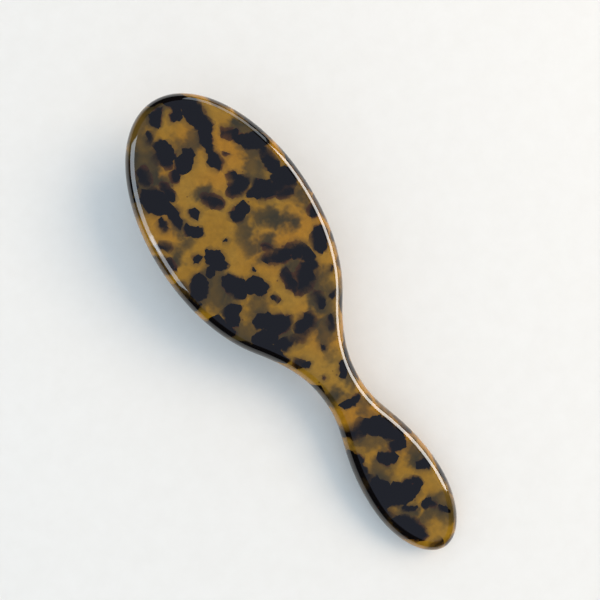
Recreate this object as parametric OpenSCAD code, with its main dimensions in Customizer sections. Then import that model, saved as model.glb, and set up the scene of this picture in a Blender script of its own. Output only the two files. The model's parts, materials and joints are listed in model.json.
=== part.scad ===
// Oval cushion hairbrush: two cemented acetate plates, an air cushion of rubber, and rows of
// ball-tipped pins that stand in tufts of bristle.
//
// Each piece is drawn level, with +Y from the handle to the head and +Z out of the smooth back.
// The origin is then on the head's widest line, in the plane where the two plates meet.
// lay() sets the brush down as it rests: on its pins and on the end of its handle.

/* [Outline] */
// Length of the whole brush
brush_len = 230; // [222:1:240]
// Width of the head
head_w = 72; // [70:1:76]
// From the head's end to its widest line
head_front = 62; // [60:1:66]
// Width of the neck
neck_w = 18.2; // [16:0.2:21]
// From the head's widest line to the neck
neck_at = 85.5; // [84:0.5:90]
// Width of the handle
handle_w = 35.2; // [32:0.2:38]
// From the head's widest line to the handle's widest line
handle_at = 135; // [131:1:139]

/* [Body] */
// Thickness of each plate, and the radius of the rounded edge
plate_t = 6; // [5.5:0.1:6.5]
// Width of the front's rim round the cushion
rim_w = 9; // [8.6:0.2:10]
// Thickness of the front lip that holds the cushion's flange
lip_t = 2.5; // [2.2:0.1:2.8]
// Thickness of the back wall behind the air chamber
back_wall = 3; // [2.4:0.1:3.4]

/* [Cushion] */
// Thickness of the rubber
rubber_t = 1.5; // [1.3:0.1:1.5]
// Width of the flange behind the lip
flange_w = 2.8; // [2.4:0.1:3]
// Height of the crown over the front face
crown_h = 4.9; // [4.8:0.1:5.6]
// Lengthwise radius of the crown
crown_r_long = 300; // [290:5:330]
// Crosswise radius of the crown
crown_r_cross = 130; // [120:5:150]
// Radius of the air vent near the handle
vent_r = 0.75; // [0.5:0.05:0.8]

/* [Pins and tufts] */
// Number of lengthwise rows
rows = 9; // [7, 9]
// Distance between rows
row_gap = 5.4; // [5.2:0.1:5.4]
// Distance between the pins of a row
pin_gap = 9; // [8.5:0.1:9.5]
// Length of a pin outside the cushion
pin_out = 14; // [12:0.5:16]
// Radius of a pin's shaft
pin_r = 0.6; // [0.5:0.05:0.65]
// Radius of the ball at a pin's tip
ball_r = 0.85; // [0.8:0.05:0.95]
// Length of a tuft outside the cushion
tuft_out = 10; // [8:0.5:11]
// Radius of a tuft where it leaves the cushion
tuft_r = 1.4; // [1.2:0.05:1.5]
// Radius of a tuft at its tips
tuft_tip_r = 1.9; // [1.6:0.05:2]

/* [Hidden] */
ROW_NAMES = [for (i = [1:rows]) str(i)];

$fn = 36;
eps = 0.01;
oval_steps = 96;
arc_steps = 360;
curve_steps = 12;
edge_step = 15;

acetate = [0.66, 0.45, 0.14];
acetate_front = [0.58, 0.38, 0.12];
black_rubber = [0.1, 0.1, 0.1];
white_nylon = [0.9, 0.88, 0.82];
dark_nylon = [0.15, 0.13, 0.12];
bristle = [0.36, 0.25, 0.16];
cotton = [0.85, 0.82, 0.74];

// Outline: a half-ellipse at each end, and curves through the shoulder, neck and flare between.
// A knot is [x, y, heading, reach before it, reach after it].
shoulder = [0.314 * head_w, -0.573 * neck_at];
flare = [0.24 * neck_w + 0.26 * handle_w, -neck_at - 0.434 * (handle_at - neck_at)];
knots = [
    [head_w / 2, 0, -90, 0, 24],
    [shoulder.x, shoulder.y, -125, 11, 16.5],
    [neck_w / 2, -neck_at, -90, 13, 9],
    [flare.x, flare.y, -74, 7, 7],
    [handle_w / 2, -handle_at, -90, 12, 0]
];
handle_end = brush_len - head_front;

// Oval window in the front plate, and the ovals of what sits in it
window = [head_w / 2 - rim_w, head_front - rim_w];
play = 0.3;
flange_play = 0.2;
lip_z = lip_t - plate_t;
flange_z = lip_z + rubber_t;
shoulder_oval = window - [play, play];
chamber_oval = shoulder_oval - [rubber_t, rubber_t];
flange_oval = window + [flange_w, flange_w];
rebate_oval = flange_oval + [flange_play, flange_play];
ring_oval = chamber_oval + [play, play];
cloth_oval = chamber_oval - [1.2, 1.2];

// Crown and what lies behind it, measured inwards from the cushion's face
crown_z = -plate_t - crown_h;
foot_r = 2.1;
foot_t = 0.8;
foot_depth = rubber_t + 0.5;
cloth_depth = foot_depth + foot_t + 0.8;
cloth_t = 0.8;
hole_r = tuft_r + 0.2;
vent_y = 2.2 - chamber_oval.y;

// Places of the pins: neighbouring rows are staggered by half a pitch
seat_oval = chamber_oval - (foot_r + play) * [1, 1];
mid_row = (rows + 1) / 2;
function row_x(i) = (i - mid_row) * row_gap;
function row_reach(x) = seat_oval.y * sqrt(1 - pow(x / seat_oval.x, 2));
function row_seats(i) = let (
    x = row_x(i),
    first = (i - mid_row) % 2 == 0 ? 0 : pin_gap / 2,
    last = floor((row_reach(x) - first) / pin_gap),
    side = [for (j = [0:last]) first + j * pin_gap]
) [for (y = concat([for (s = side) if (s > 0) -s], side)) [x, y]];

// Height of the cushion's face at a place, on a crown that is a patch of a torus
function crown_at(p) = crown_z + crown_r_long
    - sqrt(pow(crown_r_long - crown_r_cross + sqrt(pow(crown_r_cross, 2) - pow(p.x, 2)), 2) - pow(p.y, 2));
function ball_z(p) = crown_at(p) - pin_out + ball_r;

// Lean at which a flat table touches both the handle's end and the ball of a pin
head_y = head_front - plate_t;
end_y = plate_t - handle_end;
function lean_on(p) = let (dy = p.y - end_y, dz = ball_z(p))
    -atan2(dz, dy) - asin((plate_t - ball_r) / norm([dy, dz]));
lean = max([for (i = [1:rows], p = row_seats(i)) lean_on(p)]);
rest_y = -(head_y + end_y) / 2 * cos(lean);
rest_z = plate_t - end_y * sin(lean);

module lay() {
    translate([0, rest_y, rest_z])
        rotate([lean, 0, 0])
            children();
}

// Outline points as [x, y, outward x, outward y], clockwise from the head's end
function unit(v) = v / norm(v);
function heading(a) = [cos(a), sin(a)];
function mix(a, b, t) = a + (b - a) * t;
function sample(p, along) = let (u = unit(along)) [p.x, p.y, -u.y, u.x];

function ellipse_point(y0, a, b, t) = sample([a * sin(t), y0 + b * cos(t)], [a * cos(t), -b * sin(t)]);

function curve_point(k0, k1, t) = let (
    p0 = [k0.x, k0.y],
    p3 = [k1.x, k1.y],
    p1 = p0 + k0[4] * heading(k0[2]),
    p2 = p3 - k1[3] * heading(k1[2]),
    a = mix(mix(p0, p1, t), mix(p1, p2, t), t),
    b = mix(mix(p1, p2, t), mix(p2, p3, t), t)
) sample(mix(a, b, t), b - a);

step_angle = 90 / curve_steps;
right_side = concat(
    [for (a = [0:step_angle:90 - step_angle]) ellipse_point(0, head_w / 2, head_front, a)],
    [for (k = [0:len(knots) - 2], j = [0:curve_steps - 1]) curve_point(knots[k], knots[k + 1], j / curve_steps)],
    [for (a = [90:step_angle:180])
        ellipse_point(-handle_at, handle_w / 2, handle_end - handle_at, a)]
);
left_side = [for (i = [len(right_side) - 2:-1:1]) let (s = right_side[i]) [-s.x, s.y, -s[2], s[3]]];
outline = concat(right_side, left_side);

// A plate of the body, from z = 0 up, with its outer edge rounded to a quarter-circle.
// Its flat faces are ladders of strips from the right side to the left.
module plate() {
    n = len(outline);
    half = n / 2;
    angles = [0:edge_step:90];
    rings = [for (a = angles) [plate_t * (1 - cos(a)), plate_t * sin(a)]];
    points = [for (r = rings, s = outline) [s.x - r.x * s[2], s.y - r.x * s[3], r.y]];
    walls = [for (i = [0:len(rings) - 2], j = [0:n - 1]) let (k = (j + 1) % n)
        [i * n + j, i * n + k, (i + 1) * n + k, (i + 1) * n + j]];
    ladder = concat(
        [[0, 1, n - 1]],
        [for (j = [1:half - 2]) [j, j + 1, n - j - 1, n - j]],
        [[half - 1, half, half + 1]]
    );
    bottom = [for (f = ladder) [for (i = [len(f) - 1:-1:0]) f[i]]];
    top = [for (f = ladder) [for (i = f) (len(rings) - 1) * n + i]];
    polyhedron(points, concat(bottom, top, walls));
}

module oval(size) {
    polygon([for (i = [0:oval_steps - 1]) let (a = 360 * i / oval_steps)
        [size.x * cos(a), size.y * sin(a)]]);
}

module oval_block(size, low, high) {
    translate([0, 0, low])
        linear_extrude(high - low)
            oval(size);
}

// Everything on the body's side of the crown's surface, moved inwards by depth
module crown_solid(depth) {
    sweep = 24;
    slab = 22;
    r_long = crown_r_long - depth;
    translate([0, 0, crown_z + crown_r_long])
        rotate([0, 90, 0])
            rotate([0, 0, -sweep / 2])
                rotate_extrude(angle = sweep, $fn = arc_steps)
                    intersection() {
                        translate([crown_r_long - crown_r_cross, 0])
                            circle(crown_r_cross - depth, $fn = arc_steps);
                        translate([r_long - slab, -head_w / 2])
                            square([slab + 1, head_w]);
                    }
}

module at_seats(i) {
    for (p = row_seats(i))
        translate([p.x, p.y, crown_at(p)])
            children();
}

// Body
module back_shell() {
    color(acetate)
        lay()
            difference() {
                plate();
                oval_block(window, -1, plate_t - back_wall);
            }
}

module front_frame() {
    color(acetate_front)
        lay()
            difference() {
                mirror([0, 0, 1])
                    plate();
                oval_block(window, -plate_t - 1, 1);
                oval_block(rebate_oval, lip_z, 1);
            }
}

module clamp_ring() {
    color(dark_nylon)
        lay()
            difference() {
                oval_block(flange_oval, flange_z, 0);
                oval_block(ring_oval, flange_z - 1, 1);
            }
}

// Cushion
module cushion() {
    color(black_rubber)
        lay()
            difference() {
                union() {
                    oval_block(flange_oval, lip_z, flange_z);
                    intersection() {
                        oval_block(shoulder_oval, crown_z - 1, flange_z);
                        crown_solid(0);
                    }
                }
                intersection() {
                    oval_block(chamber_oval, crown_z - 1, flange_z + 1);
                    crown_solid(rubber_t);
                }
                for (i = [1:rows])
                    at_seats(i)
                        cylinder(r = hole_r, h = 4 * rubber_t, center = true);
                translate([0, vent_y, crown_at([0, vent_y])])
                    cylinder(r = vent_r, h = 4 * rubber_t, center = true);
            }
}

module backing_cloth() {
    color(cotton)
        lay()
            intersection() {
                oval_block(cloth_oval, crown_z, plate_t);
                difference() {
                    crown_solid(cloth_depth);
                    crown_solid(cloth_depth + cloth_t);
                }
            }
}

// Pins and tufts
module pin() {
    top = foot_depth + foot_t;
    translate([0, 0, foot_depth])
        cylinder(r = foot_r, h = foot_t);
    translate([0, 0, ball_r - pin_out])
        cylinder(r = pin_r, h = pin_out - ball_r + top - eps);
    translate([0, 0, ball_r - pin_out])
        sphere(ball_r);
}

module tuft() {
    bore = pin_r + 0.05;
    rotate_extrude()
        polygon([[bore, foot_depth], [tuft_r, foot_depth], [tuft_r, 0],
            [tuft_tip_r, -tuft_out], [bore, -tuft_out]]);
}

module pins_row(i) {
    color(white_nylon)
        lay()
            at_seats(i)
                pin();
}

module tufts_row(i) {
    color(bristle)
        lay()
            at_seats(i)
                tuft();
}

back_shell();
front_frame();
clamp_ring();
cushion();
backing_cloth();
for (i = [1:rows]) {
    pins_row(i);
    tufts_row(i);
}
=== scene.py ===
"""A tortoiseshell acetate cushion hairbrush, resting bristles down on a pale table.

The design frame has +Y from the handle to the head, +Z out of the smooth back, and its origin on the
head's widest line in the plane where the body's two plates meet. Lengths in it are in millimetres.
Pieces are built there and set down by REST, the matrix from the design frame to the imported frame.
"""

import json
import math

import bpy
import numpy as np
from mathutils import Matrix, Vector
from mathutils.geometry import delaunay_2d_cdt


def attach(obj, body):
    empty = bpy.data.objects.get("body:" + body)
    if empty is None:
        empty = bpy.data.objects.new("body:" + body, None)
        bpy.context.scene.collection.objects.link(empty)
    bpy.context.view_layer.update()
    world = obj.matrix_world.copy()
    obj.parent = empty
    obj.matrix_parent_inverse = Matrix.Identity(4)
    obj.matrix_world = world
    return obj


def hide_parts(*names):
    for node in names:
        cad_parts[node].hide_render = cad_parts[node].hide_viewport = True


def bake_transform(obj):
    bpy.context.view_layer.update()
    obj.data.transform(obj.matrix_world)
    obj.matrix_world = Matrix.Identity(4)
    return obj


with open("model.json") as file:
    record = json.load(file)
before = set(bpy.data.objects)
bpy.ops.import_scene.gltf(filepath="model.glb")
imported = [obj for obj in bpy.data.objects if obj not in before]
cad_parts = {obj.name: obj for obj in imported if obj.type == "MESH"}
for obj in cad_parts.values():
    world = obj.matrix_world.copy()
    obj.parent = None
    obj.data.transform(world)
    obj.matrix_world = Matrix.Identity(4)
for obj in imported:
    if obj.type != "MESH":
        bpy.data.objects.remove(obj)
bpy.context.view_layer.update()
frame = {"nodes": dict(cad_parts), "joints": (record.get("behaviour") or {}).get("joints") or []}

MM = 0.001

# ---------------------------------------------------------------- sizes, in millimetres
BRUSH_LEN, HEAD_W, HEAD_FRONT = 230, 72, 62
NECK_W, NECK_AT = 18.2, 85.5
HANDLE_W, HANDLE_AT = 35.2, 135
PLATE_T, LIP_T, BACK_WALL = 6, 2.5, 3
RIM_W, PLAY = 9, 0.3
FLANGE_W, FLANGE_PLAY = 2.8, 0.2
RUBBER_T, CROWN_T = 1.5, 1.25
CROWN_H, CROWN_LONG, CROWN_CROSS = 4.9, 300, 130
VENT_R, VENT_INSET = 0.75, 2.2
ROWS, ROW_GAP, PIN_GAP = 9, 5.4, 9
PIN_OUT, PIN_R, BALL_R = 14, 0.6, 0.85
TUFT_OUT = 10
FOOT_DEPTH, FOOT_R, FOOT_T = 2.0, 2.1, 0.8
HINGE_DEPTH = 2.0


def grown(size, by):
    """The half width and half length of an oval, both made longer by some way."""
    return size[0] + by, size[1] + by


LIP_Z = LIP_T - PLATE_T
CROWN_Z = -PLATE_T - CROWN_H
WINDOW = (HEAD_W / 2 - RIM_W, HEAD_FRONT - RIM_W)
SHOULDER = grown(WINDOW, -PLAY)
CHAMBER = grown(SHOULDER, -RUBBER_T)
FLANGE = grown(WINDOW, FLANGE_W)
REBATE = grown(FLANGE, FLANGE_PLAY)
SEAT_OVAL = grown(CHAMBER, -FOOT_R - PLAY)
VENT_Y = VENT_INSET - CHAMBER[1]

JOINTS = {j["name"]: j for j in frame["joints"]}


def rest_matrix():
    """Design millimetres to packed metres, from the press's axis and the middle row's hinge."""
    normal = Vector(JOINTS["cushion_press"]["axis"]).normalized()
    along = Vector(JOINTS["row_5_lean"]["axis"]).normalized()
    across = along.cross(normal)
    hinge = Vector(JOINTS["row_5_lean"]["pos_m"])
    origin = hinge - normal * (CROWN_Z + HINGE_DEPTH) * MM
    turn = Matrix((across, along, normal)).transposed().to_4x4()
    return Matrix.Translation(origin) @ turn


REST = rest_matrix()


# ---------------------------------------------------------------- camera
# Fitted to the brush's outline in the photo, and rounded to 0.1 mm.
CAMERA_AT = Vector((-0.0201, 0.0047, 0.3421))
LOOKS_AT = Vector((0.0060, 0.0123, 0.0219))
PICTURE_UP = Vector((0.5534, 0.8304, 0.0647))
LENS_MM, SENSOR_MM = 45, 36


def add_camera():
    forward = (LOOKS_AT - CAMERA_AT).normalized()
    right = forward.cross(PICTURE_UP).normalized()
    turn = Matrix((right, right.cross(forward), -forward)).transposed().to_4x4()
    data = bpy.data.cameras.new("camera")
    data.lens, data.sensor_width = LENS_MM, SENSOR_MM
    data.clip_start, data.clip_end = 0.01, 10
    camera = bpy.data.objects.new("camera", data)
    camera.matrix_world = Matrix.Translation(CAMERA_AT) @ turn
    bpy.context.scene.collection.objects.link(camera)
    bpy.context.scene.camera = camera


add_camera()


# ---------------------------------------------------------------- shader helpers
class Shader:
    """A material's node tree, with one short call for each kind of node."""

    def __init__(self, name):
        self.material = bpy.data.materials.new(name)
        self.material.use_nodes = True
        self.tree = self.material.node_tree
        self.surface = self.tree.nodes["Principled BSDF"]

    def node(self, kind, inputs=None, **settings):
        made = self.tree.nodes.new("ShaderNode" + kind)
        for key, value in settings.items():
            setattr(made, key, value)
        for key, value in (inputs or {}).items():
            self.put(made.inputs[key], value)
        return made

    def put(self, socket, value):
        if isinstance(value, bpy.types.NodeSocket):
            self.tree.links.new(value, socket)
        else:
            socket.default_value = value

    def set(self, **values):
        for key, value in values.items():
            self.put(self.surface.inputs[key.replace("_", " ")], value)

    def coords(self):
        """Where the point lay at rest, in design millimetres."""
        inputs = {
            "Vector": self.node("TexCoord").outputs["Object"],
            "Location": REST.translation,
            "Rotation": REST.to_euler(),
            "Scale": (MM, MM, MM),
        }
        return self.node("Mapping", inputs, vector_type="TEXTURE").outputs[0]

    def vector(self, operation, a, b=None, c=None, scale=None):
        made = self.node("VectorMath", {0: a}, operation=operation)
        for key, value in ((1, b), (2, c), ("Scale", scale)):
            if value is not None:
                self.put(made.inputs[key], value)
        return made.outputs["Value" if operation == "DISTANCE" else "Vector"]

    def math(self, operation, a, b=None, c=None):
        made = self.node("Math", {0: a}, operation=operation)
        for key, value in ((1, b), (2, c)):
            if value is not None:
                self.put(made.inputs[key], value)
        return made.outputs[0]

    def noise(self, at, scale, detail=2.0, roughness=0.5, colour=False):
        made = self.node(
            "TexNoise", {"Vector": at, "Scale": scale, "Detail": detail, "Roughness": roughness}
        )
        return made.outputs["Color" if colour else "Fac"]

    def span(self, value, low, high, to_low=0.0, to_high=1.0, smooth=False):
        """The value, with low to high taken to to_low to to_high, and held at both ends."""
        kind = "SMOOTHSTEP" if smooth else "LINEAR"
        made = self.node(
            "MapRange",
            {"Value": value, "From Min": low, "From Max": high, "To Min": to_low, "To Max": to_high},
            interpolation_type=kind,
        )
        return made.outputs["Result"]

    def mix(self, factor, a, b):
        made = self.node("Mix", {0: factor}, data_type="RGBA")
        self.put(made.inputs[6], a)
        self.put(made.inputs[7], b)
        return made.outputs[2]

    def bump(self, height, strength, distance):
        made = self.node("Bump", {"Height": height, "Strength": strength, "Distance": distance})
        self.set(Normal=made.outputs["Normal"])


# ---------------------------------------------------------------- outline of the body
CURVE_STEPS = 30
KNOTS = [
    # x, y, heading in degrees, reach before, reach after; the factors restate places that were
    # fitted to the photo's outline and rounded, and have no other meaning
    (HEAD_W / 2, 0, -90, 0, 24),
    (0.314 * HEAD_W, -0.573 * NECK_AT, -125, 11, 16.5),
    (NECK_W / 2, -NECK_AT, -90, 13, 9),
    (0.24 * NECK_W + 0.26 * HANDLE_W, -NECK_AT - 0.434 * (HANDLE_AT - NECK_AT), -74, 7, 7),
    (HANDLE_W / 2, -HANDLE_AT, -90, 12, 0),
]


def unit(v):
    return v / np.linalg.norm(v)


def heading(degrees):
    return np.array([math.cos(math.radians(degrees)), math.sin(math.radians(degrees))])


def outline():
    """Points and outward directions, clockwise from the head's end, in the same order on both sides."""
    right = []

    def add(point, along):
        along = unit(np.array(along))
        right.append((point[0], point[1], -along[1], along[0]))

    def quarter(y0, a, b, angles):
        for t in np.radians(angles):
            add((a * math.sin(t), y0 + b * math.cos(t)), (a * math.cos(t), -b * math.sin(t)))

    quarter(0, HEAD_W / 2, HEAD_FRONT, np.linspace(0, 90, 2 * CURVE_STEPS + 1)[:-1])
    for k0, k1 in zip(KNOTS, KNOTS[1:]):
        p0, p3 = np.array(k0[:2]), np.array(k1[:2])
        p1, p2 = p0 + k0[4] * heading(k0[2]), p3 - k1[3] * heading(k1[2])
        for t in np.arange(CURVE_STEPS) / CURVE_STEPS:
            a = (1 - t) ** 2 * p0 + 2 * t * (1 - t) * p1 + t * t * p2
            b = (1 - t) ** 2 * p1 + 2 * t * (1 - t) * p2 + t * t * p3
            add((1 - t) * a + t * b, b - a)
    end = BRUSH_LEN - HEAD_FRONT
    quarter(-HANDLE_AT, HANDLE_W / 2, end - HANDLE_AT, np.linspace(90, 180, CURVE_STEPS + 1))
    left = [(-x, y, -nx, ny) for x, y, nx, ny in right[-2:0:-1]]
    return np.array(right + left)


OUTLINE = outline()
SIDE = len(OUTLINE) // 2


def inset(distance, z):
    p = OUTLINE[:, :2] - distance * OUTLINE[:, 2:]
    return np.column_stack([p, np.full(len(p), z)])


# ---------------------------------------------------------------- tortoiseshell
# How far the pattern moves across and along the brush for each millimetre of depth.
SLANT = (0.55, -0.4)
CHIP_HEIGHT = 3
CHIP_IN = PLATE_T - math.sqrt(PLATE_T**2 - CHIP_HEIGHT**2)
# A chip on the right of the rounded edge is (place along the brush, half length, half width).
EDGE_CHIPS = [
    (-12, 5, 2), (-25, 2.5, 1.5), (-36, 3, 1.5), (-51, 4, 1.5),
    (-74, 9, 1.5), (-110, 5, 2), (-140, 10, 1.5), (-160, 7, 1.5),
]


def on_edge(place, length, width):
    """The patch of a chip that lies along the outline, CHIP_HEIGHT up the rounded edge."""
    right = OUTLINE[: SIDE + 1]
    x, y, nx, ny = right[np.abs(right[:, 1] - place).argmin()]
    depth = PLATE_T - CHIP_HEIGHT
    centre_x = float(x - CHIP_IN * nx + SLANT[0] * depth)
    centre_y = float(y - CHIP_IN * ny + SLANT[1] * depth)
    return centre_x, centre_y, length, width, math.degrees(math.atan2(-nx, ny))


# A patch is (x, y, half length, half width, angle of its length in degrees).
DARK_PATCHES = [
    # the crescent at the head's end
    (9, 54.8, 6.6, 3.0, -26), (11.6, 46.5, 8.4, 4.2, 95), (4.6, 51.2, 3.2, 2.4, 5),
    (9.4, 37.4, 4.6, 3.0, 70), (8, 27.6, 5.2, 3.0, 90), (8.6, 32.6, 3.2, 2.0, 70),
    (-1.4, 56.6, 3.4, 1.1, -4),
    # the head's upper left
    (-3.8, 54, 3.2, 2.6, 40), (-8.8, 41, 5.7, 4.5, 90), (-10.4, 48.4, 3.0, 1.7, 62),
    (-2.4, 34, 5.0, 3.6, 35), (-9, 31.4, 3.0, 2.3, 62), (-22, 26.2, 6.8, 5.2, 100),
    (-18.8, 17, 5.6, 2.6, 80), (-24.4, 17, 3.6, 1.6, 82), (-15.4, 27, 4.2, 1.8, 92),
    (-20, 37, 4.2, 2.6, 82), (-11.4, 14, 2.7, 1.9, 100), (-15.9, 8.4, 3.7, 2.4, -50),
    (-29.2, 9.6, 3.0, 1.8, -32), (-30.8, 2.2, 3.3, 1.9, 102),
    # the middle of the head
    (-1.8, 14.7, 5.4, 3.1, -50), (10, 13.6, 4.9, 3.8, 18), (10.7, 17.2, 3.4, 2.0, 92),
    (4.6, 4.6, 4.5, 3.2, 10),
    # the head's right side
    (18.9, 34, 4.0, 2.1, -45), (26, 25.2, 6.4, 3.8, -22), (22, 28.4, 3.8, 2.2, -50),
    (26.6, 16, 6.4, 2.7, 90), (19.6, 6.2, 8.8, 3.9, -18), (28.2, 5.8, 6.2, 4.6, -30),
    (16.4, 9.6, 3.6, 2.0, 28), (25.6, 1, 4.2, 2.6, -22), (31, -12, 3.0, 2.0, 78),
    (27.4, -22.8, 6.2, 3.7, 56), (24, -36.4, 2.1, 1.3, 30), (18.8, -46, 2.6, 1.8, 30),
    # the head's lower left
    (-14.6, -7, 5.5, 3.5, 102), (-18.4, -9.2, 3.0, 1.6, 40), (-20.8, -2.8, 2.2, 1.6, 0),
    (-27.2, -12, 5.8, 3.9, 62), (-14.4, -20.4, 6.0, 3.9, 95), (-7, -24.9, 5.8, 3.5, -48),
    (-21.2, -29.5, 5.6, 3.4, 80), (-27.2, -31.4, 5.8, 2.8, 106), (-12.6, -38.4, 4.6, 3.2, -10),
    (-6.6, -43.4, 5.4, 4.2, -20), (-15.2, -45.4, 5.2, 3.9, -30), (-10.4, -43.8, 4.0, 3.0, 0),
    (-18.8, -50, 12.4, 3.0, -52), (-11, -51.6, 4.7, 2.8, -35), (-3.8, -53, 6.2, 2.3, 3),
    (1.6, -49.4, 5.3, 3.7, 16),
    # the hook at the head's lower right
    (8.8, -19.4, 7.6, 3.2, -8), (16.8, -22.4, 5.2, 3.4, -35), (18.8, -26.2, 3.2, 2.8, 60),
    (7, -31, 6.2, 2.7, 88), (13.6, -32.8, 6.2, 4.2, 62), (17, -30.4, 3.8, 2.8, 0),
    (10.8, -36.2, 4.0, 2.6, 0), (6.8, -13.8, 2.8, 2.0, -62), (12.4, -44, 4.6, 1.9, 84),
    (11.8, -55, 3.6, 1.8, 60),
    # the neck
    (-8, -63, 3.7, 1.9, -50), (2.8, -62, 2.0, 1.3, 92), (4.8, -74.4, 3.8, 2.5, 64),
    (0.2, -88.2, 5.3, 2.0, 0),
    # the band across the handle, and its left side
    (-1, -100.8, 9.2, 3.6, -5), (4.8, -105, 6.8, 4.0, -32), (8, -110.4, 5.6, 3.6, -62),
    (6.6, -115.4, 3.8, 2.8, -40), (-0.4, -117.8, 5.4, 2.9, -34), (-14, -112, 7.2, 3.4, 82),
    (-13.8, -131, 22.0, 3.6, 90), (-10.4, -128.8, 8.0, 4.6, 96), (-4.8, -131, 4.4, 2.6, -30),
    (-2.2, -135, 8.8, 4.2, 3), (-9, -148.8, 9.2, 4.8, -62), (-4, -142, 3.7, 1.9, -38),
    (3.7, -144.2, 2.7, 1.9, 25), (5.5, -146.2, 2.0, 1.4, -60), (11, -130, 4.0, 2.6, -40),
    (-2.6, -163.6, 4.2, 1.6, 0), (8.8, -151.6, 3.0, 1.7, -55),
    # small flecks
    (-2.6, -33.8, 2.7, 1.1, -60), (-4.2, -18.6, 1.7, 0.7, 80), (-7, -2.6, 1.0, 0.7, 20),
    (13.2, 27, 1.0, 0.8, 0), (-4, -73, 0.8, 0.6, 0),
    # patches that show only on the rounded edge
    (-27.4, 36.4, 15.5, 2.7, 65), (31.4, 31, 10.0, 2.2, 114), (37, 6, 13.0, 1.9, 93),
    (-32.6, -14, 8.0, 2.0, 84), (-33.6, 3, 4.6, 1.8, 88), (-8.4, -81, 6.0, 1.7, 90),
    (4, 59.4, 4.4, 1.3, -2),
    *[on_edge(*chip) for chip in EDGE_CHIPS],
    # patches beyond the back's outline, which the slant brings onto the front plate
    (39, 12, 5.5, 3.0, 75), (36.5, 32, 4.6, 2.6, 120), (38.5, -16, 5.0, 2.8, 95),
    (34.8, -32, 4.4, 2.4, 60), (24.8, 46, 5.0, 2.4, 130), (16, -66, 3.6, 2.2, 60),
    (15.8, -90, 4.2, 2.2, 80), (21.6, -118, 5.2, 2.8, 100), (22, -138, 4.6, 3.0, 70),
    (19, -154, 4.4, 2.8, 60), (6, -168.4, 5.0, 2.4, -10), (41, -2, 3.0, 2.0, 80),
]
CLOUDY_PATCHES = [
    (-13, 52, 7.0, 4.6, 60), (-18.6, 40.6, 9.2, 6.2, 76), (-16, 30, 5.0, 3.4, 80),
    (-4, 19.6, 3.6, 2.4, 10), (5, 38, 4.2, 3.6, 60), (0, 38.6, 4.4, 3.2, -20),
    (19.6, 16, 6.2, 5.0, 80), (22, 22.4, 4.4, 4.0, 0), (-7, 56.4, 9.0, 5.0, 14),
    (2, 58, 7.0, 3.4, -4), (-25, 31, 6.0, 3.6, 70), (25.6, 32, 7.0, 4.0, -60),
    (-20, 12, 4.0, 2.4, 80), (1.6, -6, 8.4, 3.8, 72), (13, -3, 5.8, 3.8, -30),
    (18.4, -9, 6.4, 3.2, -38), (7, -11.6, 5.6, 3.0, 20), (2.4, -16.6, 3.8, 2.2, 0),
    (-20.6, -16.4, 9.4, 6.6, 66), (-29.6, -17, 4.0, 2.6, 80), (-22.6, -38.6, 7.4, 4.6, -44),
    (-11.4, -33.6, 6.4, 4.2, 60), (-21, -23.4, 5.0, 4.0, 40), (-10, -48.2, 6.4, 3.4, -30),
    (12.6, -44.4, 9.4, 4.6, 84), (8.8, -56, 7.2, 5.2, 50), (18, -40, 6.2, 3.2, 70),
    (10.4, -25.4, 4.0, 3.0, 0), (-5.4, -83.6, 5.4, 3.0, 10), (6.2, -79, 5.6, 2.6, 72),
    (-1.4, -108, 7.4, 3.4, -28), (-6.6, -122, 8.4, 5.2, 60), (10.4, -126.4, 5.4, 3.2, -30),
    (9.2, -151, 9.0, 5.8, -58), (1.6, -150, 5.4, 3.2, 14), (-5.2, -143.6, 4.4, 3.0, -40),
    (4, -94, 5.2, 2.8, 8), (-23.4, 4.6, 6.4, 2.4, 16), (30.4, -5, 6.0, 2.4, 80),
    (3.6, -66.4, 3.6, 1.8, 60), (12, -121, 4.0, 2.4, 50), on_edge(-100, 4.5, 2.2),
    (24, -46, 5.0, 2.2, 55),
]
AMBER = (0.262, 0.132, 0.008, 1)
AMBER_PALE = (0.268, 0.145, 0.015, 1)
AMBER_ORANGE = (0.34, 0.145, 0.006, 1)
# painted light: a brighter orange amber for the rounded edge, as if lit through the acetate
AMBER_PAINTED_EDGE_LIGHT = (0.46, 0.21, 0.022, 1)
OLIVE = (0.024, 0.0215, 0.0105, 1)
BLACK_BROWN = (0.0035, 0.0028, 0.003, 1)
RED_BROWN = (0.048, 0.013, 0.0045, 1)
ACETATE_IOR = 1.48
ROUNDEST = 0.98
NOISE_MIDDLE = (0.5, 0.5, 0.5)
# How far the noises move a patch's outline, and the size and strength of the chips' flat sides.
WANDER, CHIP_RIPPLE, SMOKY_RIPPLE = 3.2, 1.3, 4.0
CELL_SCALE, CELL_PULL = 0.24, 0.26
# The depths between which the rounded edge changes from the look of the flat back to its own: painted
# light coming through the acetate, and denser cloudy patches.
EDGE_DEPTHS = (0.2, 3.0)


def nearest_patch(shader, at, patches):
    """About the distance to the nearest patch's rim, negative inside; an ellipse goes by its foci."""
    field = None
    for x, y, length, width, angle in patches:
        along = Vector((math.cos(math.radians(angle)), math.sin(math.radians(angle)), 0))
        focus = along * math.sqrt(length**2 - min(width, ROUNDEST * length) ** 2)
        steepness = math.sqrt(length / width)
        centre = Vector((x, y, 0))
        distance = -length * steepness
        for end in (centre + focus, centre - focus):
            reach = shader.vector("DISTANCE", at, end)
            distance = shader.math("MULTIPLY_ADD", reach, steepness / 2, distance)
        field = distance if field is None else shader.math("MINIMUM", field, distance)
    return field


def in_plane(by):
    """The same amount across and along the brush, and none through it."""
    return by, by, 0


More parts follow.
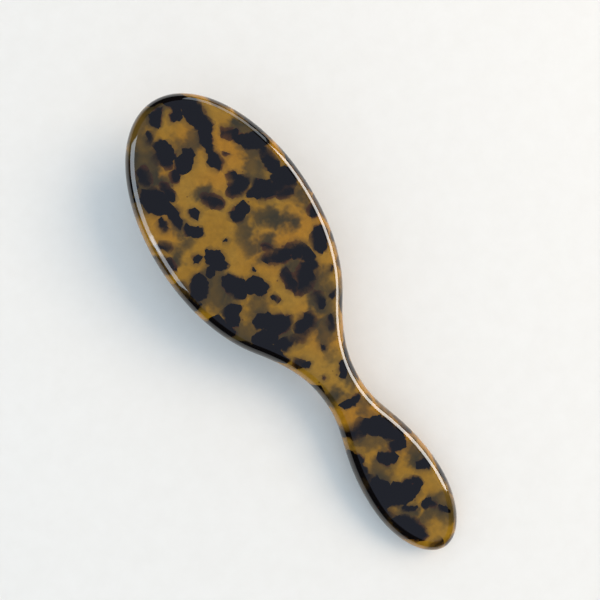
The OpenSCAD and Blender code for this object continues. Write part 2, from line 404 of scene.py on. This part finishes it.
def patch_fields(s, here, slanted):
    """How far each point lies from the crisp dark patches, and from the cloudy ones."""
    wander = s.vector("SUBTRACT", s.noise(here, 0.1, 1.0, colour=True), NOISE_MIDDLE)
    ripple = s.vector("SUBTRACT", s.noise(here, 0.34, 1.0, colour=True), NOISE_MIDDLE)
    moved = s.vector("MULTIPLY_ADD", wander, in_plane(WANDER), slanted)

    # chips have flat sides: a coarse cell pattern pulls each point towards the middle of its cell
    cell = s.node("TexVoronoi", {"Vector": moved, "Scale": CELL_SCALE}, voronoi_dimensions="2D")
    pull = s.vector("SUBTRACT", cell.outputs["Position"], moved)
    chipped = s.vector("MULTIPLY_ADD", pull, in_plane(CELL_PULL), moved)
    chipped = s.vector("MULTIPLY_ADD", ripple, in_plane(CHIP_RIPPLE), chipped)
    dark = nearest_patch(s, chipped, DARK_PATCHES)
    dark = s.math("ADD", dark, s.span(s.noise(here, 0.5, 1.0), 0.3, 0.7, -0.3, 0.0))

    smoky = s.vector("MULTIPLY_ADD", ripple, in_plane(SMOKY_RIPPLE), moved)
    cloudy = nearest_patch(s, smoky, CLOUDY_PATCHES)
    cloudy = s.math("ADD", cloudy, s.span(s.noise(here, 0.16, 3.0), 0.3, 0.7, -2.4, 1.0))
    return dark, cloudy


def amber(s, here, depth):
    """Amber, paler and more orange in places, with painted light: brighter and more orange down in the
    rounded edge, as if lit through the acetate.
    """
    tone = s.mix(s.span(s.noise(here, 0.05, 2.0), 0.4, 0.62), AMBER, AMBER_PALE)
    tone = s.mix(s.span(s.noise(here, 0.035, 1.0), 0.5, 0.68, 0, 0.7), tone, AMBER_ORANGE)
    # painted light: the amber turns brighter and more orange with depth down the rounded edge
    painted_edge_light = s.span(depth, *EDGE_DEPTHS, 0.0, 0.6, smooth=True)
    tone = s.mix(painted_edge_light, tone, AMBER_PAINTED_EDGE_LIGHT)
    mottle = s.span(s.noise(here, 0.35, 5.0, 0.6), 0.3, 0.75, 0.82, 1.1)
    return s.vector("SCALE", tone, scale=mottle)


def tortoiseshell(name):
    """Amber acetate with crisp dark chips, cloudy olive ones that lie deeper, and reddish rims."""
    s = Shader(name)
    here = s.coords()
    split = s.node("SeparateXYZ", {0: here}).outputs
    depth = s.math("SUBTRACT", PLATE_T, split["Z"])
    moves = zip("XY", SLANT)
    shifted = {axis: s.math("MULTIPLY_ADD", depth, by, split[axis]) for axis, by in moves}
    slanted = s.node("CombineXYZ", shifted).outputs[0]
    dark, cloudy = patch_fields(s, here, slanted)
    tone = amber(s, here, depth)

    density = s.span(s.noise(here, 0.08, 2.0), 0.36, 0.62, 0.66, 0.97)
    density = s.math("MAXIMUM", density, s.span(depth, *EDGE_DEPTHS, 0.0, 0.92))
    deep = s.math("MULTIPLY", s.span(cloudy, 2.1, -2.4, smooth=True), density)
    tone = s.mix(deep, tone, OLIVE)
    halo = s.span(dark, 2.2, 0.0, 0.0, 0.45, smooth=True)
    tone = s.mix(halo, tone, OLIVE)
    rim_where = s.span(s.noise(here, 0.09, 1.0), 0.5, 0.64, 0.1, 0.75)
    rim = s.math("MULTIPLY", s.span(dark, 0.5, 0.1, 0.0, 1.0, smooth=True), rim_where)
    tone = s.mix(rim, tone, RED_BROWN)
    softness = s.span(s.noise(here, 0.07, 1.0), 0.45, 0.64, 0.15, 1.5)
    well_in = s.math("DIVIDE", s.math("MULTIPLY", dark, -1.0), softness)
    tone = s.mix(s.span(well_in, -0.5, 1.0, smooth=True), tone, BLACK_BROWN)

    # a few tiny dark specks
    speck = s.node("TexVoronoi", {"Vector": here, "Scale": 0.16, "Randomness": 1.0})
    dot = s.math("MULTIPLY", s.span(speck.outputs["Distance"], 0.075, 0.04), 0.7)
    tone = s.mix(dot, tone, RED_BROWN)

    polish = s.noise(here, 0.25, 4.0)
    s.set(
        Base_Color=tone,
        IOR=ACETATE_IOR,
        Roughness=s.span(polish, 0.3, 0.7, 0.045, 0.085),
        Coat_Weight=0.25,
        Coat_Roughness=0.02,
    )
    s.bump(s.noise(here, 0.06, 0.0), 0.3, 0.0001)
    return s.material


def rubber():
    s = Shader("cushion_rubber")
    here = s.coords()
    dust = s.span(s.noise(here, 0.9, 5.0, 0.65), 0.45, 0.8)
    s.set(
        Base_Color=s.mix(dust, (0.018, 0.016, 0.016, 1), (0.034, 0.03, 0.028, 1)),
        Roughness=s.span(s.noise(here, 2.5, 3.0), 0.3, 0.7, 0.5, 0.68),
        IOR=1.52,
    )
    s.bump(s.noise(here, 6.0, 3.0), 0.25, 0.00008)
    return s.material


def moulded_plastic():
    s = Shader("ring_nylon")
    here = s.coords()
    s.set(
        Base_Color=s.mix(s.noise(here, 0.8, 3.0), (0.02, 0.018, 0.017, 1), (0.032, 0.028, 0.026, 1)),
        Roughness=s.span(s.noise(here, 3.0, 2.0), 0.3, 0.7, 0.42, 0.58),
        IOR=1.53,
    )
    s.bump(s.noise(here, 9.0, 2.0), 0.2, 0.00005)
    return s.material


def nylon():
    s = Shader("pin_nylon")
    here = s.coords()
    s.set(
        Base_Color=s.mix(s.noise(here, 0.5, 2.0), (0.66, 0.55, 0.36, 1), (0.74, 0.65, 0.47, 1)),
        Roughness=s.span(s.noise(here, 4.0, 2.0), 0.3, 0.7, 0.24, 0.36),
        IOR=1.53,
        Subsurface_Weight=0.25,
        Subsurface_Scale=0.0006,
    )
    s.bump(s.noise(here, 5.0, 2.0), 0.1, 0.00003)
    return s.material


def boar_bristle():
    s = Shader("bristle")
    here = s.coords()
    hair = s.noise(s.vector("MULTIPLY", here, (3.0, 3.0, 0.05)), 1.0, 2.0)
    tone = s.mix(s.span(hair, 0.35, 0.65), (0.022, 0.012, 0.007, 1), (0.085, 0.046, 0.022, 1))
    s.set(Base_Color=tone, Roughness=s.span(hair, 0.3, 0.7, 0.34, 0.5), IOR=1.55)
    s.bump(s.noise(s.vector("MULTIPLY", here, (8.0, 8.0, 1.0)), 1.0, 2.0), 0.2, 0.00003)
    return s.material


def woven_cotton():
    s = Shader("backing_cotton")
    here = s.coords()
    thread = {"Vector": here, "Scale": 0.55, "Distortion": 1.2, "Detail": 2.0}
    warp = s.node("TexWave", thread, bands_direction="X")
    weft = s.node("TexWave", thread, bands_direction="Y")
    weave = s.math("MULTIPLY", warp.outputs["Fac"], weft.outputs["Fac"])
    s.set(
        Base_Color=s.mix(weave, (0.46, 0.42, 0.33, 1), (0.7, 0.66, 0.56, 1)),
        Roughness=s.span(weave, 0.0, 1.0, 0.95, 0.8),
    )
    s.bump(weave, 0.6, 0.0002)
    return s.material


def table_top():
    s = Shader("table_top")
    here = s.coords()
    fibre = s.noise(here, 0.12, 6.0, 0.6)
    s.set(
        Base_Color=s.mix(s.span(fibre, 0.3, 0.7), (0.755, 0.742, 0.725, 1), (0.775, 0.764, 0.75, 1)),
        Roughness=s.span(fibre, 0.3, 0.7, 0.7, 0.82),
        IOR=1.3,
    )
    s.bump(s.noise(here, 0.4, 5.0), 0.15, 0.0002)
    return s.material


MATERIALS = {
    "acetate_back": tortoiseshell("acetate_back"),
    "acetate_front": tortoiseshell("acetate_front"),
    "ring_nylon": moulded_plastic(),
    "cushion_rubber": rubber(),
    "backing_cotton": woven_cotton(),
    "pin_nylon": nylon(),
    "bristle": boar_bristle(),
}


# ---------------------------------------------------------------- mesh helpers
CREASE_DEGREES = 38


class Build:
    """Collects the points, in design millimetres, and the faces of one mesh."""

    def __init__(self):
        self.points, self.faces = [], []

    def ring(self, points):
        first = len(self.points)
        self.points.extend(tuple(float(v) for v in p) for p in points)
        return list(range(first, len(self.points)))

    def band(self, a, b):
        """Quads between two closed rings of the same length."""
        for i in range(len(a)):
            j = (i + 1) % len(a)
            self.faces.append((a[i], a[j], b[j], b[i]))

    def bands(self, rings):
        for a, b in zip(rings, rings[1:]):
            self.band(a, b)

    def rod(self, rings):
        """Bands along the rings, with a cap at each end."""
        self.bands(rings)
        self.faces.append(tuple(reversed(rings[0])))
        self.faces.append(tuple(rings[-1]))

    def fill(self, outer, holes=(), inner=(), flip=False):
        """Triangles between a closed outer ring and closed holes, through the loose inner points."""
        index = [*outer, *[i for h in holes for i in h], *inner]
        flat = [Vector(self.points[i][:2]) for i in index]
        place = {k: n for n, k in enumerate(index)}
        edges = []
        for loop in (outer, *holes):
            edges += [(place[loop[i]], place[loop[(i + 1) % len(loop)]]) for i in range(len(loop))]
        made, _, triangles, source, _, _ = delaunay_2d_cdt(flat, edges, [], 1, 1e-5)
        loops = [np.array([self.points[i][:2] for i in loop]) for loop in (outer, *holes)]
        back = [index[s[0]] for s in source]
        centres = np.array([[sum(made[k][c] for k in t) / 3 for c in (0, 1)] for t in triangles])
        keep = inside(centres, loops[0])
        for loop in loops[1:]:
            near = np.all(np.abs(centres - loop.mean(0)) <= np.ptp(loop, axis=0) / 2 + 0.1, axis=1)
            keep[near] &= ~inside(centres[near], loop)
        for t, wanted in zip(triangles, keep):
            if wanted:
                face = tuple(back[k] for k in t)
                self.faces.append(face[::-1] if flip else face)

    def piece(self, name, material, at=REST):
        """The mesh as an object; at takes its points, in metres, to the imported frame."""
        mesh = bpy.data.meshes.new(name)
        mesh.from_pydata([at @ (Vector(p) * MM) for p in self.points], [], self.faces)
        mesh.polygons.foreach_set("use_smooth", [True] * len(mesh.polygons))
        mesh.set_sharp_from_angle(angle=math.radians(CREASE_DEGREES))
        mesh.materials.append(material)
        mesh.update()
        made = bpy.data.objects.new(name, mesh)
        bpy.context.scene.collection.objects.link(made)
        return made


def inside(points, loop):
    """Which of the points lie inside a closed loop, by crossings."""
    x, y = points[:, 0][:, None], points[:, 1][:, None]
    x0, y0 = loop[:, 0][None], loop[:, 1][None]
    x1, y1 = np.roll(x0, -1, axis=1), np.roll(y0, -1, axis=1)
    with np.errstate(divide="ignore", invalid="ignore"):
        cross = ((y0 > y) != (y1 > y)) & (x < (x1 - x0) * (y - y0) / (y1 - y0) + x0)
    return cross.sum(1) % 2 == 1


def install(piece, slot, body, *nodes):
    """The piece rides on a body and stands in for CAD nodes, which are hidden; slot is not used."""
    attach(piece, body)
    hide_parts(*nodes)


# ---------------------------------------------------------------- the two plates
def oval(size, z, count=200, grow=0.0):
    """An ellipse, clockwise from its +Y end, moved outwards by grow."""
    t = np.linspace(0, 2 * math.pi, count, endpoint=False)
    a, b = size
    p = np.column_stack([a * np.sin(t), b * np.cos(t)])
    n = np.column_stack([np.sin(t) / a, np.cos(t) / b])
    p = p + grow * n / np.linalg.norm(n, axis=1)[:, None]
    return np.column_stack([p, np.full(count, z)])


EDGE_STEPS = 14
SEAM = 0.1
FLAT_BORDER = 0.5
POCKET_BORDER = 1.0
LIP_ROUND, LIP_STEPS = 0.7, 6


def rounded_edge(build, side):
    """Rings from the seam to the flat face; side is 1 for the back plate and -1 for the front one."""
    rings = [build.ring(inset(SEAM, 0.0))]
    first = math.asin(SEAM / PLATE_T)
    for a in np.linspace(first, math.pi / 2, EDGE_STEPS + 1):
        rings.append(build.ring(inset(PLATE_T * (1 - math.cos(a)), side * PLATE_T * math.sin(a))))
    rings.append(build.ring(inset(PLATE_T + FLAT_BORDER, side * PLATE_T)))
    for a, b in zip(rings, rings[1:]):
        build.band(*((b, a) if side > 0 else (a, b)))
    return rings


def flat_cap(build, ring, columns=8):
    """The smooth back: a grid from the right half of a ring to its left half."""
    count = len(ring)
    points = np.array([build.points[i] for i in ring])
    rungs = [[ring[0]]]
    for j in range(1, SIDE):
        a, b = points[j], points[count - j]
        middle = [a + (b - a) * u for u in np.linspace(0, 1, columns + 1)[1:-1]]
        rungs.append([ring[j], *build.ring(middle), ring[count - j]])
    rungs.append([ring[SIDE]])
    for upper, lower in zip(rungs, rungs[1:]):
        if len(upper) == 1:
            build.faces += [(upper[0], lower[i + 1], lower[i]) for i in range(columns)]
        elif len(lower) == 1:
            build.faces += [(upper[i], upper[i + 1], lower[0]) for i in range(columns)]
        else:
            build.faces += [(upper[i], upper[i + 1], lower[i + 1], lower[i]) for i in range(columns)]


def back_shell():
    b = Build()
    rings = rounded_edge(b, 1)
    flat_cap(b, rings[-1])
    mouth = b.ring(oval(WINDOW, 0.0))
    floor_edge = b.ring(oval(WINDOW, PLATE_T - BACK_WALL))
    floor_inner = b.ring(oval(WINDOW, PLATE_T - BACK_WALL, grow=-POCKET_BORDER))
    b.fill(rings[0], [mouth], flip=True)
    b.band(floor_edge, mouth)
    b.band(floor_inner, floor_edge)
    b.fill(floor_inner, flip=True)
    piece = b.piece("back_shell_polished", MATERIALS["acetate_back"])
    install(piece, "acetate_back", "brush_body", "back_shell")


def front_frame():
    b = Build()
    rings = rounded_edge(b, -1)
    window = [b.ring(oval(WINDOW, -PLATE_T, grow=LIP_ROUND + FLAT_BORDER))]
    for a in np.linspace(0, math.pi / 2, LIP_STEPS + 1):
        height = -PLATE_T + LIP_ROUND * (1 - math.cos(a))
        window.append(b.ring(oval(WINDOW, height, grow=LIP_ROUND * (1 - math.sin(a)))))
    window += [b.ring(oval(WINDOW, LIP_Z)), b.ring(oval(REBATE, LIP_Z)), b.ring(oval(REBATE, 0.0))]
    b.fill(rings[-1], [window[0]], flip=True)
    for outer, inner in zip(window, window[1:]):
        b.band(inner, outer)
    b.fill(rings[0], [window[-1]])
    piece = b.piece("front_frame_polished", MATERIALS["acetate_front"])
    install(piece, "acetate_front", "brush_body", "front_frame")


# ---------------------------------------------------------------- seats of the pins
def crown_at(x, y, inwards=0.0):
    """Height of the cushion's face, or of the surface that lies some way inwards from it."""
    cross = np.sqrt((CROWN_CROSS - inwards) ** 2 - np.asarray(x, float) ** 2)
    long = np.sqrt((CROWN_LONG - CROWN_CROSS + cross) ** 2 - np.asarray(y, float) ** 2)
    return CROWN_Z + CROWN_LONG - long


def row_seats(row):
    """Places of a row's pins; neighbouring rows are staggered by half a pitch."""
    middle = (ROWS + 1) // 2
    x = (row - middle) * ROW_GAP
    reach = SEAT_OVAL[1] * math.sqrt(1 - (x / SEAT_OVAL[0]) ** 2)
    first = 0 if (row - middle) % 2 == 0 else PIN_GAP / 2
    side = np.arange(first, reach, PIN_GAP)
    return [(x, y) for y in sorted({*side, *-side})]


SEATS = [seat for row in range(1, ROWS + 1) for seat in row_seats(row)]


# ---------------------------------------------------------------- cushion
SEAT_POINTS, VENT_POINTS = 20, 16
# The collar round a tuft's hole: radius, and how far it stands out of the cushion's face.
BOSS = [(1.5, -0.5), (1.52, -0.1), (1.62, 0.16), (1.85, 0.3), (2.15, 0.22), (2.5, 0.08), (2.95, 0.0)]
SHOULDER_R, SHOULDER_STEPS = 1.5, 6
FILL_GAP, FILL_ROW_GAP = 1.6, 0.87 * 1.6
SEAT_CLEAR, VENT_CLEAR = 3.6, 2
# The chamfer inside, where the wall meets the crown: its height and its width.
CORNER_H, CORNER_W = 0.3, 0.6


def circle(x, y, r, count, turn=0.0):
    t = np.linspace(0, 2 * math.pi, count, endpoint=False) + turn
    return np.column_stack([x + r * np.sin(t), y + r * np.cos(t)])


def loose_points(edge):
    """A staggered grid of fill points inside an oval, clear of every seat and of the vent."""
    made = []
    for j, y in enumerate(np.arange(-edge[1], edge[1], FILL_ROW_GAP)):
        for x in np.arange(-edge[0], edge[0], FILL_GAP) + (j % 2) * FILL_GAP / 2:
            if (x / (edge[0] - FILL_GAP / 2)) ** 2 + (y / (edge[1] - FILL_GAP / 2)) ** 2 < 1:
                if min((x - sx) ** 2 + (y - sy) ** 2 for sx, sy in SEATS) > SEAT_CLEAR**2:
                    if abs(x) > VENT_CLEAR or abs(y - VENT_Y) > VENT_CLEAR:
                        made.append((x, y))
    return np.array(made)


def on_crown(xy, inwards=0.0, rise=0.0):
    """Points set on the cushion's face, or inwards from it, or standing out of it."""
    return np.column_stack([xy, crown_at(xy[:, 0], xy[:, 1], inwards) - rise])


def tuft_holes(b):
    """A raised collar and a hole for each tuft; gives the holes' outer and inner rings."""
    outer, inner = [], []
    for x, y in SEATS:
        rings = [b.ring(on_crown(circle(x, y, r, SEAT_POINTS), rise=h)) for r, h in BOSS]
        b.bands(rings)
        outer.append(rings[-1])
        back = b.ring(on_crown(circle(x, y, BOSS[0][0], SEAT_POINTS), CROWN_T))
        b.band(back, rings[0])
        inner.append(back)
    return outer, inner


def shoulder_and_flange(b, crown_edge, edge):
    """Over the shoulder, down the wall, out along the flange and back up inside; the last ring."""
    rings = [crown_edge]
    for a in np.linspace(0, math.pi / 2, SHOULDER_STEPS + 1)[1:]:
        out = oval(SHOULDER, 0, grow=SHOULDER_R * (math.sin(a) - 1))
        out[:, 2] = crown_at(edge[:, 0], edge[:, 1]) + SHOULDER_R * (1 - math.cos(a))
        rings.append(b.ring(out))
    flange_back = LIP_Z + RUBBER_T
    walls = ((SHOULDER, LIP_Z), (FLANGE, LIP_Z), (FLANGE, flange_back), (CHAMBER, flange_back))
    rings += [b.ring(oval(size, z)) for size, z in walls]
    chamber = oval(CHAMBER, 0)
    chamber[:, 2] = crown_at(chamber[:, 0], chamber[:, 1], CROWN_T) + CORNER_H
    rings.append(b.ring(chamber))
    rings.append(b.ring(on_crown(oval(CHAMBER, 0, grow=-CORNER_W)[:, :2], CROWN_T)))
    b.bands(rings)
    return rings[-1]


def cushion():
    """A thin rubber crown with a raised boss round each hole, a rounded shoulder and a flange."""
    b = Build()
    edge = oval(SHOULDER, 0, grow=-SHOULDER_R)[:, :2]
    crown_edge = b.ring(on_crown(edge))
    outer_holes, inner_holes = tuft_holes(b)
    vent_out = b.ring(on_crown(circle(0, VENT_Y, VENT_R, VENT_POINTS)))
    vent_in = b.ring(on_crown(circle(0, VENT_Y, VENT_R, VENT_POINTS), CROWN_T))
    b.band(vent_in, vent_out)
    between = b.ring(on_crown(loose_points(grown(SHOULDER, -SHOULDER_R))))
    b.fill(crown_edge, [*outer_holes, vent_out], between, flip=True)
    inner_edge = shoulder_and_flange(b, crown_edge, edge)
    b.fill(inner_edge, [*inner_holes, vent_in])

    piece = b.piece("cushion_moulded", MATERIALS["cushion_rubber"])
    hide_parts("cushion")
    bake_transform(piece)


# ---------------------------------------------------------------- pins and tufts
PIN_SIDES = 14
FOOT_TOP_ROUND, FOOT_ROUND = 0.25, 0.2
ROOT_FLARE, ROOT_FLARE_H = 0.25, 0.3
SHAFT_END, NECK_R, NECK_H = 1.0, 0.5, 0.5
BALL_FROM, BALL_TO, BALL_STEPS = 38, 172, 8
HAIRS_A_TUFT = 46
HAIR_R, HAIR_R_SPREAD = 0.095, (0.8, 1.15)
HAIR_STATIONS, HAIR_TAPER = (0.0, 0.35, 0.7, 0.92, 1.0), 0.55
TUFT_ROOT = (0.74, 0.95)
TUFT_TIP = (0.8, 1.76)
TIP_SPREAD, TURN_SPREAD, BEND_SPREAD = 0.12, 0.2, 0.08
TUFT_SHORT, LENGTH_SPREAD = 0.1, 0.45
GOLDEN_ANGLE = math.radians(137.5)
SEED = 7


def pin_profile():
    """Radius and height of a pin over the cushion's face, from the back of its foot to its tip."""
    top = FOOT_DEPTH + FOOT_T
    foot = [
        (FOOT_R - FOOT_TOP_ROUND, top),
        (FOOT_R, top - FOOT_TOP_ROUND),
        (FOOT_R, FOOT_DEPTH + FOOT_ROUND),
        (FOOT_R - FOOT_ROUND, FOOT_DEPTH),
    ]
    shaft = [
        (PIN_R + ROOT_FLARE, FOOT_DEPTH),
        (PIN_R, FOOT_DEPTH - ROOT_FLARE_H),
        (PIN_R, -SHAFT_END),
        (NECK_R, 2 * BALL_R - PIN_OUT + NECK_H),
    ]
    centre = BALL_R - PIN_OUT
    angles = np.radians(np.linspace(BALL_FROM, BALL_TO, BALL_STEPS + 1))
    ball = [(BALL_R * math.sin(a), centre + BALL_R * math.cos(a)) for a in angles]
    return [*foot, *shaft, *ball]


def level_ring(b, x, y, z, r, count, turn=0.0):
    """A circle of points at one height."""
    return b.ring(np.column_stack([circle(x, y, r, count, turn), np.full(count, z)]))


def pins(row):
    b = Build()
    profile = pin_profile()
    for x, y in row_seats(row):
        z = float(crown_at(x, y))
        b.rod([level_ring(b, x, y, z + h, r, PIN_SIDES) for r, h in profile])
    piece = b.piece(f"nylon_pins_{row}", MATERIALS["pin_nylon"])
    install(piece, "pin_nylon", f"row_{row}", f"pins_row_{row}")


def hair(b, root, tip, bend, radius):
    """A tapered four-sided bristle that bows by bend halfway from root to tip."""
    turn = math.radians(45)
    rings = []
    for t in HAIR_STATIONS:
        x, y, z = root + (tip - root) * t + bend * (4 * t * (1 - t))
        rings.append(level_ring(b, x, y, z, radius * (1 - HAIR_TAPER * t**3), 4, turn))
    b.rod(rings)


def spread(inner, outer, share):
    """The radius inside which a share of the ring between two radii lies."""
    return math.sqrt(inner**2 + share * (outer**2 - inner**2))


def tufts(row, random):
    b = Build()
    for x, y in row_seats(row):
        z = float(crown_at(x, y))
        for k in range(HAIRS_A_TUFT):
            share = (k + 0.5) / HAIRS_A_TUFT
            root_r = spread(*TUFT_ROOT, share)
            tip_r = spread(*TUFT_TIP, share) + random.uniform(-TIP_SPREAD, TIP_SPREAD)
            angle = k * GOLDEN_ANGLE + random.uniform(-TURN_SPREAD, TURN_SPREAD)
            out = np.array([math.sin(angle), math.cos(angle)])
            length = TUFT_OUT - TUFT_SHORT - abs(random.normal(0, LENGTH_SPREAD))
            root = np.array([x + root_r * out[0], y + root_r * out[1], z + FOOT_DEPTH])
            tip = np.array([x + tip_r * out[0], y + tip_r * out[1], z - length])
            bend = np.append(random.uniform(-BEND_SPREAD, BEND_SPREAD, 2), 0)
            hair(b, root, tip, bend, HAIR_R * random.uniform(*HAIR_R_SPREAD))
    piece = b.piece(f"bristle_tufts_{row}", MATERIALS["bristle"])
    install(piece, "bristle", f"row_{row}", f"tufts_row_{row}")


# ---------------------------------------------------------------- the object
back_shell()
front_frame()
cushion()
hair_random = np.random.default_rng(SEED)
for row_number in range(1, ROWS + 1):
    pins(row_number)
    tufts(row_number, hair_random)
for node, slot_name in (("clamp_ring", "ring_nylon"), ("backing_cloth", "backing_cotton")):
    frame["nodes"][node].data.materials.clear()
    frame["nodes"][node].data.materials.append(MATERIALS[slot_name])


# ---------------------------------------------------------------- stage and light
FLOOR_HALF = 1.5
WARM, COOL, PALE = (1.0, 0.77, 0.54), (0.80, 0.90, 1.0), (1.0, 0.98, 0.94)
BLUE_CEILING, FAR_BLUE = (0.60, 0.71, 1.0), (0.85, 0.93, 1.0)


def add_floor():
    b = Build()
    half = FLOOR_HALF / MM
    corners = [(-half, -half, 0), (half, -half, 0), (half, half, 0), (-half, half, 0)]
    b.faces.append(tuple(b.ring(corners)))
    b.piece("floor", table_top(), at=Matrix.Identity(4))


def add_window(name, at, size, radiance, colour, shine_only=False, glow_only=False):
    """A soft light that faces the brush; it can be seen in polish only, or be left out of it."""
    data = bpy.data.lights.new(name, "AREA")
    data.shape = "RECTANGLE"
    data.size, data.size_y = size
    data.energy = radiance * math.pi * size[0] * size[1]
    data.color = colour
    made = bpy.data.objects.new(name, data)
    made.location = at
    made.rotation_euler = Vector(at).to_track_quat("Z", "Y").to_euler()
    made.visible_camera = False
    made.visible_diffuse = not shine_only
    made.visible_glossy = not glow_only
    bpy.context.scene.collection.objects.link(made)


def add_sky(colour, strength):
    world = bpy.data.worlds.new("room")
    world.use_nodes = True
    background = world.node_tree.nodes["Background"]
    background.inputs["Color"].default_value = (*colour, 1)
    background.inputs["Strength"].default_value = strength
    bpy.context.scene.world = world
    world.cycles_visibility.glossy = False


add_floor()
add_sky((0.80, 0.91, 1.0), 0.98)
add_window("key", (1.54, -0.26, 1.54), (1.6, 1.2), 5.0, WARM, glow_only=True)
add_window("ceiling", (0, 0, 2.5), (4.5, 4.5), 0.42, BLUE_CEILING, shine_only=True)
add_window("right_window", (1.17, -0.29, 0.50), (1.2, 0.56), 10.5, PALE, shine_only=True)
add_window("far_right_window", (0.95, 0.73, 0.55), (0.9, 0.5), 2.8, FAR_BLUE, shine_only=True)
add_window("left_window", (-0.33, 0.235, 0.285), (0.36, 0.26), 5.4, COOL, shine_only=True)
add_window("near_left_window", (-0.155, 0.050, 0.135), (0.07, 0.09), 5.4, COOL, shine_only=True)
bpy.context.scene.view_settings.view_transform = "Standard"
